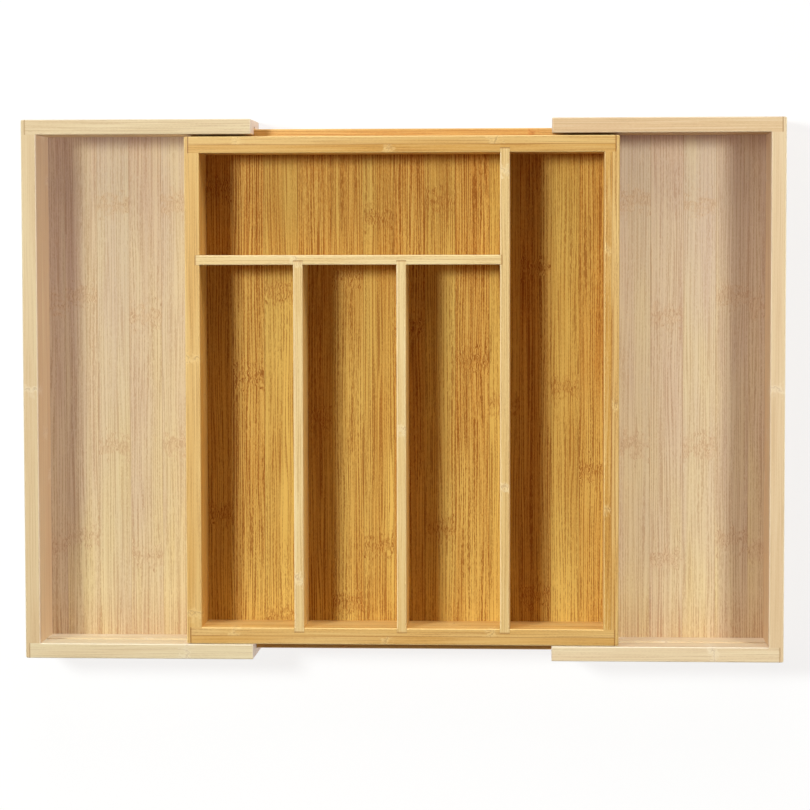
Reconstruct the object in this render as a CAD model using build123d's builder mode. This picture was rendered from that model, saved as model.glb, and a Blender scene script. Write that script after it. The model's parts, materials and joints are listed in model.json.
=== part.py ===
"""Expandable bamboo cutlery tray: a divided centre tray that runs on rails between two pull-out wings.

Millimetres, +Z up, +X along the slide and +Y to the back. The origin is on the table, under the
middle of the whole tray with both wings pulled out to their stops.
"""

import os

from build123d import *

# Centre tray, outside
tray_width = 288.0
tray_depth = 338.0
rim_height = 50.0

# Boards
side_board = 10.0
long_board = 11.0
wing_board = 10.0
divider_board = 6.4
panel = 3.5

# Corner rabbets: the board that runs front to back keeps a thin lip over its neighbour's end
corner_lip = 2.2

# Grooves that hold the floor panels
panel_groove = 5.0
panel_edge_gap = 0.5
panel_face_gap = 0.1
wing_panel_lift = 2.0
tray_panel_lift = 3.2

# Housings that hold the ends of the dividers
wall_housing = 3.2
divider_housing = 2.9
long_divider_housing = 1.5
glue_gap = 0.1

# Back compartment, from the back wall to the cross divider
back_compartment = 67.5
# Equal compartments across the tray
compartments_across = 4

# Rails on the outside of the front and back walls
rail_drop = 20.0
rail_height = 5.0
rail_reach = 5.6
rail_seat = 3.0
rail_ease = 0.6

# Running clearances of the wings
front_play = 0.4
back_play = 1.6
rail_play = 0.4
rail_tip_play = 0.6
under_play = 0.6
closed_gap = 0.5
meeting_gap = 2.0

# Pull-out travel, and the battens that end it under the centre tray
travel = 98.5
stop_width = 12.0
stop_inset = 8.0
stop_head_gap = 0.6
stop_face_gap = 0.3

# Eased edges
edge_round = 0.8
corner_round = 1.2
foot_ease = 0.5

# Every cut runs past the face that it opens by this much
overrun = 1.0

# Heights worked out from the sizes above
wing_floor_top = wing_panel_lift + panel
tray_foot = wing_floor_top + under_play
tray_floor_low = tray_foot + tray_panel_lift
tray_floor_top = tray_floor_low + panel
rail_top = rim_height - rail_drop
rail_low = rail_top - rail_height

# Places across the depth: the wings are centred, and the tray stands forward in its play
tray_mid = (front_play - back_play) / 2
wing_inner = (tray_depth + front_play + back_play) / 2
wing_outer = wing_inner + wing_board
tray_inner_depth = tray_depth - 2 * long_board
cross_back = tray_mid + tray_inner_depth / 2 - back_compartment
cross_front = cross_back - divider_board

# Places along the slide
tray_side = tray_width / 2
tray_inner = tray_side - side_board
wing_face = tray_side + closed_gap + travel
wing_end = wing_face + side_board
wing_tip = meeting_gap / 2 + travel
dividers_across = compartments_across - 1
compartment = (2 * tray_inner - dividers_across * divider_board) / compartments_across
divider_step = compartment + divider_board
long_place = tray_inner - compartment - divider_board / 2
short_places = {
    "short_divider_left": long_place - 2 * divider_step,
    "short_divider_right": long_place - divider_step,
}


def end_board(side, outer_x, depth, mid_y, foot, joint, panel_low, housings=()):
    """Board that runs front to back and laps the ends of two walls.

    side is -1 for a left board and 1 for a right one, joint is the thickness of the walls that it
    laps, and housings lists the middles of the upright slots in its inner face.
    """
    inner_x = outer_x - side * side_board
    lip_x = outer_x - side * corner_lip
    back = mid_y + depth / 2
    height = rim_height - foot
    with BuildPart() as board:
        with BuildSketch(Plane.XZ.offset(-back)):
            with Locations(((outer_x + inner_x) / 2, foot + height / 2)):
                Rectangle(side_board, height)
        extrude(amount=depth)
        # Rabbets that leave the lip
        with BuildSketch(Plane.XY.offset(foot - overrun)):
            with Locations(*(((lip_x + inner_x - side * overrun) / 2,
                              mid_y + end * (depth - joint + overrun) / 2) for end in (-1, 1))):
                Rectangle(side_board - corner_lip + overrun, joint + overrun)
        extrude(amount=height + 2 * overrun, mode=Mode.SUBTRACT)
        # Rounded corners, and eased edges wherever a hand can reach
        corners = board.edges().filter_by(Axis.Z).group_by(Axis.X)[0 if side < 0 else -1]
        fillet(corners, corner_round)
        rim = board.faces().sort_by(Axis.Z)[-1].edges()
        inner_edge = rim.filter_by(Axis.Y).sort_by(Axis.X)[-1 if side < 0 else 0]
        lap_edges = rim.filter_by(
            lambda edge: abs(edge.center().X - lip_x) < glue_gap
            or (abs(edge.center().Y - mid_y) < depth / 2 - glue_gap
                and abs(edge.center().X - outer_x) > corner_lip)
        )
        fillet([inner_edge] + list(rim - lap_edges), edge_round)
        foot_edges = board.faces().sort_by(Axis.Z)[0].edges().filter_by(Axis.Y)
        chamfer(foot_edges.sort_by(Axis.X)[0 if side < 0 else -1], foot_ease)
        # Groove for the floor panel
        with BuildSketch(Plane.XZ.offset(-back)):
            with Locations((inner_x + side * (panel_groove - overrun) / 2,
                            panel_low + panel / 2)):
                Rectangle(panel_groove + overrun, panel + 2 * panel_face_gap)
        extrude(amount=depth, mode=Mode.SUBTRACT)
        # Housings for dividers
        if housings:
            with BuildSketch(Plane.XY.offset(tray_floor_top)):
                with Locations(*((inner_x + side * (wall_housing - overrun) / 2, place)
                                 for place in housings)):
                    Rectangle(wall_housing + overrun, divider_board + 2 * glue_gap)
            extrude(amount=height, mode=Mode.SUBTRACT)
    return board


def tray_wall(outward, housings):
    """Front or back wall of the centre tray, with its floor groove, rail seat and housings.

    outward is 1 for the back wall and -1 for the front one.
    """
    outer_y = tray_mid + outward * tray_depth / 2
    inner_y = outer_y - outward * long_board
    height = rim_height - tray_foot
    reach = tray_side - corner_lip - glue_gap
    with BuildPart() as wall:
        # The inner edge is eased only where it shows, between the side walls
        with BuildSketch(Plane.YZ.offset(-tray_inner)):
            with Locations(((outer_y + inner_y) / 2, tray_foot + height / 2)):
                Rectangle(long_board, height)
        extrude(amount=2 * tray_inner)
        rim = wall.edges().filter_by(Axis.X).group_by(Axis.Z)[-1].sort_by(Axis.Y)
        fillet(rim[0 if outward > 0 else -1], edge_round)
        for side in (-1, 1):
            with BuildSketch(Plane.YZ.offset(side * tray_inner)):
                with Locations(((outer_y + inner_y) / 2, tray_foot + height / 2)):
                    Rectangle(long_board, height)
            extrude(amount=side * (reach - tray_inner))
        outer_edges = wall.edges().filter_by(Axis.X).group_by(Axis.Y)[-1 if outward > 0 else 0]
        fillet(outer_edges.sort_by(Axis.Z)[-1], edge_round)
        outer_edges = wall.edges().filter_by(Axis.X).group_by(Axis.Y)[-1 if outward > 0 else 0]
        chamfer(outer_edges.sort_by(Axis.Z)[0], foot_ease)
        # Floor groove inside, rail seat outside
        with BuildSketch(Plane.YZ.offset(-reach)):
            with Locations((inner_y + outward * (panel_groove - overrun) / 2,
                            tray_floor_low + panel / 2)):
                Rectangle(panel_groove + overrun, panel + 2 * panel_face_gap)
            with Locations((outer_y - outward * (rail_seat - overrun) / 2,
                            rail_low + rail_height / 2)):
                Rectangle(rail_seat + overrun, rail_height)
        extrude(amount=2 * reach, mode=Mode.SUBTRACT)
        # Housings for dividers
        with BuildSketch(Plane.XY.offset(tray_floor_top)):
            with Locations(*((place, inner_y + outward * (wall_housing - overrun) / 2)
                             for place in housings)):
                Rectangle(divider_board + 2 * glue_gap, wall_housing + overrun)
        extrude(amount=height, mode=Mode.SUBTRACT)
    return wall


def divider(along, low, high, bare_low, bare_high, place, housings=(), housing_side=-1):
    """Upright divider that stands on the tray floor.

    It runs along X or Y from low to high, with its top eased between bare_low and bare_high, where
    it leaves its housings. place is its middle on the other axis. housings are the middles of
    slots in one face, on the side that housing_side names, as (place, depth).
    """
    height = rim_height - tray_floor_top
    section_plane = Plane.YZ if along == Axis.X else Plane.XZ
    sign = 1 if along == Axis.X else -1
    with BuildPart() as piece:
        with BuildSketch(section_plane.offset(sign * bare_low)):
            with Locations((place, tray_floor_top + height / 2)):
                Rectangle(divider_board, height)
        extrude(amount=sign * (bare_high - bare_low))
        fillet(piece.edges().filter_by(along).group_by(Axis.Z)[-1], edge_round)
        for start, length in ((bare_low, low - bare_low), (bare_high, high - bare_high)):
            with BuildSketch(section_plane.offset(sign * start)):
                with Locations((place, tray_floor_top + height / 2)):
                    Rectangle(divider_board, height)
            extrude(amount=sign * length)
        for middle, depth in housings:
            across = place + housing_side * (divider_board - depth + overrun) / 2
            spot = (middle, across) if along == Axis.X else (across, middle)
            slot = (divider_board + 2 * glue_gap, depth + overrun)
            with BuildSketch(Plane.XY.offset(tray_floor_top - overrun)):
                with Locations(spot):
                    Rectangle(*(slot if along == Axis.X else reversed(slot)))
            extrude(amount=height + 2 * overrun, mode=Mode.SUBTRACT)
    return piece


def floor_panel(low_x, high_x, half_depth, mid_y, low_z):
    """Flat floor panel that floats in the grooves round it."""
    with BuildPart() as floor:
        with BuildSketch(Plane.XY.offset(low_z)):
            with Locations(((low_x + high_x) / 2, mid_y)):
                Rectangle(high_x - low_x, 2 * half_depth)
        extrude(amount=panel)
    return floor


def guide_rail(outward):
    """Strip let into the outside of the front or back wall, on which the wings run."""
    outer_y = tray_mid + outward * tray_depth / 2
    reach = tray_side - corner_lip - glue_gap
    with BuildPart() as rail:
        with BuildSketch(Plane.YZ.offset(-reach)):
            with Locations((outer_y + outward * (rail_reach - rail_seat) / 2,
                            rail_low + rail_height / 2)):
                Rectangle(rail_reach + rail_seat, rail_height)
        extrude(amount=2 * reach)
        nose = rail.faces().sort_by(Axis.Y)[-1 if outward > 0 else 0]
        chamfer(nose.edges(), rail_ease)
    return rail


def wing_wall(outward):
    """Left wing's front or back wall, with its floor groove and the groove that takes the rail.

    outward is 1 for the back wall and -1 for the front one.
    """
    outer_y = outward * wing_outer
    inner_y = outward * wing_inner
    joint_x = -wing_end + corner_lip + glue_gap
    groove = rail_reach - front_play + rail_tip_play
    with BuildPart() as wall:
        # The inner edge is eased only where it shows, from the end wall to the open end
        with BuildSketch(Plane.YZ.offset(-wing_face)):
            with Locations(((outer_y + inner_y) / 2, rim_height / 2)):
                Rectangle(wing_board, rim_height)
        extrude(amount=wing_face - wing_tip)
        rim = wall.edges().filter_by(Axis.X).group_by(Axis.Z)[-1].sort_by(Axis.Y)
        fillet(rim[0 if outward > 0 else -1], edge_round)
        with BuildSketch(Plane.YZ.offset(-wing_face)):
            with Locations(((outer_y + inner_y) / 2, rim_height / 2)):
                Rectangle(wing_board, rim_height)
        extrude(amount=joint_x + wing_face)
        outer_edges = wall.edges().filter_by(Axis.X).group_by(Axis.Y)[-1 if outward > 0 else 0]
        fillet(outer_edges.sort_by(Axis.Z)[-1], edge_round)
        outer_edges = wall.edges().filter_by(Axis.X).group_by(Axis.Y)[-1 if outward > 0 else 0]
        chamfer(outer_edges.sort_by(Axis.Z)[0], foot_ease)
        open_end = wall.faces().sort_by(Axis.X)[-1]
        fillet(open_end.edges().sort_by(Axis.Z)[2:], edge_round)
        # Floor groove and rail groove, both open at the inner end
        with BuildSketch(Plane.YZ.offset(joint_x)):
            with Locations((inner_y + outward * (panel_groove - overrun) / 2,
                            wing_panel_lift + panel / 2)):
                Rectangle(panel_groove + overrun, panel + 2 * panel_face_gap)
            with Locations((inner_y + outward * (groove - overrun) / 2,
                            rail_low + rail_height / 2)):
                Rectangle(groove + overrun, rail_height + 2 * rail_play)
        extrude(amount=-wing_tip - joint_x, mode=Mode.SUBTRACT)
    return wall


def stop_batten():
    """Left wing's batten, glued on its floor under the tray, that catches the tray's side wall."""
    height = tray_floor_low - wing_floor_top - stop_head_gap
    with BuildPart() as batten:
        with BuildSketch(Plane.XY.offset(wing_floor_top)):
            with Locations((-tray_inner + stop_face_gap + stop_width / 2, tray_mid)):
                Rectangle(stop_width, tray_inner_depth - 2 * stop_inset)
        extrude(amount=height)
        fillet(batten.faces().sort_by(Axis.Z)[-1].edges(), edge_round)
    return batten


# Centre tray
cross_middle = (cross_back + cross_front) / 2
pieces = {
    "centre_left_wall": end_board(-1, -tray_side, tray_depth, tray_mid, tray_foot,
                                  long_board, tray_floor_low, (cross_middle,)),
    "centre_right_wall": end_board(1, tray_side, tray_depth, tray_mid, tray_foot,
                                   long_board, tray_floor_low),
    "centre_back_wall": tray_wall(1, (long_place,)),
    "centre_front_wall": tray_wall(-1, (*short_places.values(), long_place)),
    "centre_floor": floor_panel(
        -(tray_inner + panel_groove - panel_edge_gap), tray_inner + panel_groove - panel_edge_gap,
        tray_inner_depth / 2 + panel_groove - panel_edge_gap, tray_mid, tray_floor_low),
    "back_guide_rail": guide_rail(1),
    "front_guide_rail": guide_rail(-1),
}

tray_front_face = tray_mid - tray_inner_depth / 2
tray_back_face = tray_mid + tray_inner_depth / 2
housed = wall_housing - glue_gap
pieces["long_divider"] = divider(
    Axis.Y, tray_front_face - housed, tray_back_face + housed, tray_front_face, tray_back_face,
    long_place, ((cross_middle, long_divider_housing),))
long_face = long_place - divider_board / 2
pieces["cross_divider"] = divider(
    Axis.X, -tray_inner - housed, long_face + long_divider_housing - glue_gap,
    -tray_inner, long_face, cross_middle,
    tuple((place, divider_housing) for place in short_places.values()))
for name, place in short_places.items():
    pieces[name] = divider(
        Axis.Y, tray_front_face - housed, cross_front + divider_housing - glue_gap,
        tray_front_face, cross_front, place)

# Left wing, and the right wing as its mirror image
left_wing = {
    "end_wall": end_board(-1, -wing_end, 2 * wing_outer, 0, 0, wing_board, wing_panel_lift),
    "back_wall": wing_wall(1),
    "front_wall": wing_wall(-1),
    "floor": floor_panel(-(wing_face + panel_groove - panel_edge_gap), -wing_tip,
                         wing_inner + panel_groove - panel_edge_gap, 0, wing_panel_lift),
    "stop": stop_batten(),
}
for name, piece in left_wing.items():
    pieces["left_wing_" + name] = piece
    with BuildPart() as mirrored:
        mirror(piece.part, about=Plane.YZ)
    pieces["right_wing_" + name] = mirrored

os.makedirs("parts", exist_ok=True)
for name, piece in pieces.items():
    piece.part.label = name
    export_step(piece.part, f"parts/{name}.step")
    print(name, "volume", round(piece.part.volume), "mm3")
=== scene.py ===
"""Expandable bamboo cutlery tray: its bamboo finishes, its glued floor panels and its studio."""

import json
import logging
import math
from dataclasses import dataclass, replace
from enum import Enum

import bpy
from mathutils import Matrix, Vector

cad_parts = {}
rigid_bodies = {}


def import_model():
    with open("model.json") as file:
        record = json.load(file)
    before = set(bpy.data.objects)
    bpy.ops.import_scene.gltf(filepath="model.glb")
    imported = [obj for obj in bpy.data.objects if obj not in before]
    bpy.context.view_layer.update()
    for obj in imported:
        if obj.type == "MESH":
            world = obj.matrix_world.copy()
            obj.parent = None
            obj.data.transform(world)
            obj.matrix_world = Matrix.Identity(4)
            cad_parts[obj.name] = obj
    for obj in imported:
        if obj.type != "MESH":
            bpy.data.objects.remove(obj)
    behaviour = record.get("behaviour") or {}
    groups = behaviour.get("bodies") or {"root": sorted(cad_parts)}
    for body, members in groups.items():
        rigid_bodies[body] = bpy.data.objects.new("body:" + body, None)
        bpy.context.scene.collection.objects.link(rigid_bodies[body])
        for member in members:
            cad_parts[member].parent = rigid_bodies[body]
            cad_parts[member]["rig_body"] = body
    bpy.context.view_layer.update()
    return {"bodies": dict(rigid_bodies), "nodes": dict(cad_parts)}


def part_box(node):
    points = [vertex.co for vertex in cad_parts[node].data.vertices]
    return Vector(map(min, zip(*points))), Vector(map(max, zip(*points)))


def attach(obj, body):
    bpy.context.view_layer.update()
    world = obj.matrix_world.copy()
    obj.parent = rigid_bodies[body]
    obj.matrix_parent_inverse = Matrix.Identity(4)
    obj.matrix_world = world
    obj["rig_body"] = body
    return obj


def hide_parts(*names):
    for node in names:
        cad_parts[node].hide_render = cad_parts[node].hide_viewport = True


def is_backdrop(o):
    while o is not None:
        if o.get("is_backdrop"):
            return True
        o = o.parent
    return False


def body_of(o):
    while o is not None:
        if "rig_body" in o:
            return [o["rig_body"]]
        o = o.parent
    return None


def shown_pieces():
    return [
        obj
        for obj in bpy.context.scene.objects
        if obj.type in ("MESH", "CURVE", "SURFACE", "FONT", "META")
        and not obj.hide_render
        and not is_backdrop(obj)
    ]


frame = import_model()

log = logging.getLogger("cutlery_tray")

MM = 0.001  # one millimetre, in metres
PER_METRE = 1000.0  # millimetres in a metre
WHITE = "#FFFFFF"

Tree = bpy.types.NodeTree
Node = bpy.types.Node
Socket = bpy.types.NodeSocket
Object = bpy.types.Object

MATH = "ShaderNodeMath"
VECTOR_MATH = "ShaderNodeVectorMath"
MIX = "ShaderNodeMix"
MAP_RANGE = "ShaderNodeMapRange"
NOISE = "ShaderNodeTexNoise"
WHITE_NOISE = "ShaderNodeTexWhiteNoise"
SEPARATE = "ShaderNodeSeparateXYZ"
COMBINE = "ShaderNodeCombineXYZ"

# How bamboo is drawn. Lengths are in mm, and a scale is the noise's cells per mm across the face,
# through the thickness and along the fibres. START is where something begins, FULL where it is whole.
STRIP_SHIFT = (37.0, 61.0, 419.0)  # from one strip's part of the noise to the next one's
SLOW_SCALE = (0.04, 0.04, 0.012)  # slow changes of tone, and of how the fibres lean
BAND_SCALE = (0.13, 0.13, 0.006)  # bands about 8 mm wide
TONE_LOW, TONE_HIGH, TONE_CHANGE = 0.35, 0.65, 0.2  # their noise, and the most that they change tone
STRETCH_SCALE = (0.07, 0.07, 0.018)  # stretches in which fibres break up into dashes
STRETCH_START, STRETCH_FULL = 0.4, 0.6  # the noise of these
LEAN, SWING = 1.6, 3.0  # how far fibres lean sideways, and how far they swing at a node
FIBRE_START, FIBRE_FULL = 0.49, 0.66  # the lines' value at a dark fibre
GAP_START, GAP_FULL, GAP_STRENGTH = 0.47, 0.34, 0.7  # the same at a pale line between two
GOLDEN_FIBRES, BLUSH_FIBRES = 0.82, 0.9  # fibre strength of a golden strip, and what blush adds
FINE_SHARE, FINE_DASHES = 0.18, 0.25  # share of the finest lines, and what dashes add
COMB_TILT, COMB_STRAY = 0.8, 14.0  # how far the comb of fibres leans, and how far chance shifts it
# How strongly node marks, end grain, the painted highlight on eased edges and glue joints show.
MARK_STRENGTH, CUT_STRENGTH, EDGE_HIGHLIGHT_STRENGTH, GLUE_STRENGTH = 0.5, 0.6, 0.6, 0.75
RIPPLE_SCALE, RAGGED = 0.28, 2.8  # a node mark's ripple, and the reaches that it shifts the mark
SCAR_START, SCAR_FULL = 1.1, 0.3  # from a scar's middle
SCAR_BROKEN, SCAR_WHOLE = 0.58, 0.5  # the ripple where the scar is broken, and where it is whole
JOINT_START, JOINT_FULL, JOINT_STRENGTH = 0.4, 0.15, 0.62  # a glue line, from the strip's edge
SEAT_START, SEAT_FULL = 1.0, 0.3  # the line at a housed end, from the board's end
STRIP_FIT = 0.998  # strips are drawn a hair too wide, so that each face lies inside its own strip
NUMBER_SPAN = 31.0  # the span of the strips' own numbers
CHANCE_BLUSH = 0.5  # the most blush that a solid board's strips get by chance
NODE_STEP, NODE_STAGGER = 0.37, 0.41  # how node marks move on from strip to strip
TONE_BLUSH, TONE_GOLDEN = 0.6, -0.06  # a floor strip's blush: what tone adds, and where it starts
CUT_START, CUT_FULL = 0.75, 0.9  # the normal's share along the fibres, where a face is end grain
EDGE_START, EDGE_FULL = 0.995, 0.93  # the normal's largest share, where a face is an eased edge
FRONT_SHADE_START, FRONT_SHADE_FULL = 36.0, 6.0  # the painted shade along a floor's front end, measured from that end
FIBRE_ROUGHNESS = 0.12  # what the open fibres add to the roughness
FIBRE_DROP, BUMP_STRENGTH = 0.06, 0.6  # how far the fibres lie below the ground
OIL_IOR = 1.5
WELD = 0.001  # points nearer than this are one
# The fibre noise: scale and detail. Bundles are about 0.5 mm wide, drawn up to twice as wide, so that
# the picture holds them.
FIBRE_LAYERS = {
    "long": ((1.9, 1.9, 0.014), 1.0),
    "dash": ((1.9, 1.9, 0.2), 1.0),
    "fine": ((1.8, 1.8, 0.6), 1.0),
    "stray": ((0.5, 0.5, 0.009), 0.0)}


def linear(code: str) -> tuple[float, float, float, float]:
    """Turns an sRGB hex colour into linear light.

    Args:
        code: The colour, as in "#D9A84F".

    Returns:
        Red, green, blue and an alpha of 1, as a shader socket takes them.
    """
    channels = [int(code[place:place + 2], 16) / 255 for place in (1, 3, 5)]
    light = [c / 12.92 if c <= 0.04045 else ((c + 0.055) / 1.055) ** 2.4 for c in channels]
    return (*light, 1.0)


def add_node(tree: Tree, kind: str, inputs: dict | None = None, **settings) -> Node:
    """Adds one node to a tree, with its settings and the links that flow into it.

    Args:
        tree: The tree that gets the node.
        kind: Blender's name for the kind of node.
        inputs: What goes into its sockets, by name or by place: a value, a socket,
            or a node, which stands for its first output in use.
        **settings: The node's properties, by name.

    Returns:
        The new node.
    """
    node = tree.nodes.new(kind)
    for name, value in settings.items():
        setattr(node, name, value)
    for key, value in (inputs or {}).items():
        named = [s for s in node.inputs if s.enabled and s.name == key]
        socket = node.inputs[key] if isinstance(key, int) else named[0]
        if isinstance(value, Node):
            value = next(s for s in value.outputs if s.enabled)
        if isinstance(value, Socket):
            tree.links.new(value, socket)
        else:
            socket.default_value = value
    return node


def empty_tree(owner: bpy.types.ID) -> Tree:
    """Gives a material, a world or a light a node tree of its own, still empty."""
    owner.use_nodes = True
    owner.node_tree.nodes.clear()
    return owner.node_tree


def new_object(name: str, data: bpy.types.ID) -> Object:
    """Makes an object of a mesh, a light or a camera, and puts it in the scene."""
    made = bpy.data.objects.new(name, data)
    bpy.context.scene.collection.objects.link(made)
    return made


class Grain(Enum):
    """How a piece's fibres lie: its axes across the face, through the thickness and along the fibres.

    Those of a standing board run crossways, left to right, or lengthways, front to back.
    """

    CROSSWAYS = (2, 1, 0)
    LENGTHWAYS = (2, 0, 1)
    PANEL = (0, 2, 1)


class Ends(Enum):
    """Whether each end of a piece, the left or front one first, sits in the housing of another piece."""

    FREE = (False, False)
    HOUSED = (True, True)
    FIRST_HOUSED = (True, False)
    LAST_HOUSED = (False, True)


@dataclass(frozen=True)
class Board:
    """One flat piece of the frame, and how its own bamboo looks.

    Attributes:
        name: Its name in the frame.
        grain: How its fibres lie.
        depth: How deep its colour is, from 0 for the finish's palest to 1 for its deepest.
        drift: How much deeper it is at its back or right end than at its other end.
        layers: How many layers it is glued from, through its thickness.
        step: How much deeper each layer is than the one before it, towards the back or the right.
        node: Where along it the first node mark lies, in mm from its middle.
        figure: How strongly its fibres show, as a share of what is usual for the finish.
        fading: How much weaker its fibres show at its back or right end than at its other end.
        front_shade: How deep the painted shade is along its front end, at the foot of the wall there, from 0
            to 1.
        ends: Which of its ends are housed, which draws a thin joint line there.
    """

    name: str
    grain: Grain
    depth: float = 0.5
    drift: float = 0.0
    layers: int = 1
    step: float = 0.0
    node: float = 0.0
    figure: float = 1.0
    fading: float = 0.0
    front_shade: float = 0.0
    ends: Ends = Ends.FREE


@dataclass(frozen=True)
class Bamboo:
    """Laminated bamboo, planed and oiled: strips glued into a board, a divider, a rail or a panel.

    To the eye this is a warm ground drawn over with fine red-brown and pale lines that run its whole
    length, a small change of tone from strip to strip, and a ripple of short dashes at each node. The
    values given here are those of a solid board. A thin panel has its own.

    Attributes:
        slot: The name of the finish in the record.
        pale: Colour of the palest ground.
        deep: Colour of the deepest ground.
        blush: Colour that the pinkish strips lean to.
        fibre: Colour of the fibres.
        fleck: Colour of the pale lines between fibres, and of the painted highlight on eased edges.
        cut: Colour of the end grain.
        node: Colour that the node marks lean to.
        node_pitch: Distance between the node marks of one strip, in mm.
        fibre_strength: How strongly the fibres show, where 1 is in full.
        strip: Width of one strip of a solid board, in mm.
        spread: How much the depth changes from strip to strip.
        node_reach: How far a node mark reaches along the strip to each side, in mm.
        scar: How dark the thin line in the middle of a node mark is, from 0 to 1.
        fibre_pitch: Distance between two fibres, in mm.
        evenness: How much the fibres keep that distance, where 0 leaves them wholly to chance.
        dashes: How far its fibres break up into dashes in places, from 0 to 1.
        roughness: Roughness of the oiled surface.
        gloss: Specular level, where 0.5 is that of the bare IOR.
    """

    slot: str
    pale: str
    deep: str
    blush: str
    fibre: str
    fleck: str
    cut: str
    node: str
    node_pitch: float
    fibre_strength: float
    strip: float = 17.0
    spread: float = 0.05
    node_reach: float = 5.0
    scar: float = 0.4
    fibre_pitch: float = 1.9
    evenness: float = 0.1
    dashes: float = 0.12
    roughness: float = 0.42
    gloss: float = 0.3

    def pattern(self) -> Tree:
        """Makes the node group that draws this bamboo, once.

        Returns:
            The group, from the place in the piece (mm) to colour, roughness and height.
        """
        name = f"{self.slot}_pattern"
        if name in bpy.data.node_groups:
            return bpy.data.node_groups[name]
        tree = bpy.data.node_groups.new(name, "ShaderNodeTree")
        for way, kind, labels in (
                ("INPUT", "Vector", ("Place",)),
                ("INPUT", "Float", (
                    "Strip", "Depth", "Blush", "Fibre", "Node Distance", "Settled", "End Grain", "Edge",
                    "Joint")),
                ("OUTPUT", "Color", ("Color",)),
                ("OUTPUT", "Float", ("Roughness", "Height"))):
            for label in labels:
                tree.interface.new_socket(label, in_out=way, socket_type=f"NodeSocket{kind}")
        given = add_node(tree, "NodeGroupInput").outputs

        # Each strip reads another part of the noise, so that no fibre runs on across a glue joint.
        shift = add_node(tree, VECTOR_MATH, {0: STRIP_SHIFT, "Scale": given["Strip"]}, operation="SCALE")
        place = add_node(tree, VECTOR_MATH, {0: given["Place"], 1: shift}, operation="ADD")
        slow_place = add_node(tree, VECTOR_MATH, {0: place, 1: SLOW_SCALE}, operation="MULTIPLY")
        slow = add_node(tree, NOISE, {"Vector": slow_place, "Scale": 1.0, "Detail": 1.0})
        near, scar, wave = self.node_mark(tree, place, given["Node Distance"])
        lean = add_node(tree, VECTOR_MATH, {0: slow.outputs["Color"], "Scale": LEAN}, operation="SCALE")
        leaning = add_node(tree, VECTOR_MATH, {0: place, 1: lean}, operation="ADD")
        fibres = add_node(tree, VECTOR_MATH, {0: leaning, 1: wave}, operation="ADD")
        lines = self.fibre_lines(tree, place, fibres, near)
        lined = add_node(tree, MAP_RANGE, {
            "Value": lines, "From Min": FIBRE_START, "From Max": FIBRE_FULL},
            interpolation_type="SMOOTHSTEP")
        gap = add_node(tree, MAP_RANGE, {
            "Value": lines, "From Min": GAP_START, "From Max": GAP_FULL, "To Max": GAP_STRENGTH})

        # Pinkish strips have stronger fibres than golden ones.
        stronger = add_node(tree, MATH, {
            0: given["Blush"], 1: BLUSH_FIBRES, 2: GOLDEN_FIBRES}, operation="MULTIPLY_ADD")
        strength = add_node(tree, MATH, {0: stronger, 1: given["Fibre"]}, operation="MULTIPLY")
        dark = add_node(tree, MATH, {0: lined, 1: strength}, operation="MULTIPLY", use_clamp=True)
        between = add_node(tree, MATH, {0: gap, 1: strength}, operation="MULTIPLY", use_clamp=True)

        # The ground changes slowly along a strip, and more quickly across it, in bands.
        band_place = add_node(tree, VECTOR_MATH, {0: place, 1: BAND_SCALE}, operation="MULTIPLY")
        bands = add_node(tree, NOISE, {"Vector": band_place, "Scale": 1.0, "Detail": 1.0})
        mood = add_node(tree, MIX, {"Factor": 0.5, "A": slow.outputs["Fac"], "B": bands}, data_type="FLOAT")
        change = add_node(tree, MAP_RANGE, {
            "Value": mood, "From Min": TONE_LOW, "From Max": TONE_HIGH,
            "To Min": -TONE_CHANGE, "To Max": TONE_CHANGE})
        depth = add_node(tree, MATH, {0: given["Depth"], 1: change}, operation="ADD", use_clamp=True)
        pink = add_node(tree, MATH, {0: given["Blush"], 1: change}, operation="ADD", use_clamp=True)

        # Over the ground lie node marks, fibres, scars, painted shade along the front end, and the pale
        # lines between fibres. End grain is duller, eased edges get a painted highlight, and a glue joint is
        # a thin dark line.
        mark = add_node(tree, MATH, {0: near, 1: MARK_STRENGTH}, operation="MULTIPLY")
        marks = add_node(tree, MATH, {0: dark, 1: scar}, operation="MAXIMUM")
        drawn = add_node(tree, MATH, {0: marks, 1: given["Settled"]}, operation="ADD", use_clamp=True)
        cut, edge_highlight, glued = (
            add_node(tree, MATH, {0: given[source], 1: strength}, operation="MULTIPLY")
            for source, strength in (
                ("End Grain", CUT_STRENGTH), ("Edge", EDGE_HIGHLIGHT_STRENGTH), ("Joint", GLUE_STRENGTH)))
        colour = linear(self.pale)
        for share, code in (
                (depth, self.deep), (pink, self.blush), (mark, self.node), (drawn, self.fibre),
                (between, self.fleck), (cut, self.cut), (edge_highlight, self.fleck), (glued, self.fibre)):
            colour = add_node(tree, MIX, {
                "Factor": share, "A": colour, "B": linear(code)}, data_type="RGBA")

        # The open fibres are a little rougher and lower than the hard ground between them.
        rough = add_node(tree, MATH, {
            0: dark, 1: FIBRE_ROUGHNESS, 2: self.roughness}, operation="MULTIPLY_ADD")
        low = add_node(tree, MATH, {0: dark, 1: given["Joint"]}, operation="ADD")
        height = add_node(tree, MATH, {0: 1.0, 1: low}, operation="SUBTRACT")
        add_node(tree, "NodeGroupOutput", {"Color": colour, "Roughness": rough, "Height": height})
        return tree

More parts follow.
